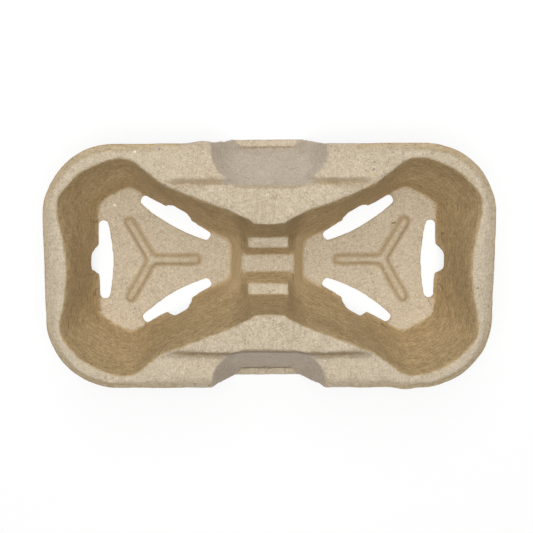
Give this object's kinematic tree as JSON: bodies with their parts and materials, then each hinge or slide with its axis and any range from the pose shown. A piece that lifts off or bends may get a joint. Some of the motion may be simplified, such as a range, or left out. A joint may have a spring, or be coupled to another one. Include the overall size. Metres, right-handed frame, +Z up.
{
  "type": "cup carrier tray",
  "caption": "Moulded pulp tray that holds two take-away cups in lobed pockets joined by a stepped saddle, with a finger grip in each long side.",
  "frame": {"origin": "on the table under the middle of the tray, at the centre of the base of its bounding box", "axes": "+X along the length, +Z up; the two long sides with the finger grips face -Y and +Y"},
  "size_m": [0.212, 0.1216, 0.0465],
  "materials": {
    "pulp": "rough natural moulded fibre"
  },
  "bodies": {
    "root": {"carrier_tray": "pulp"}
  },
  "joints": []
}
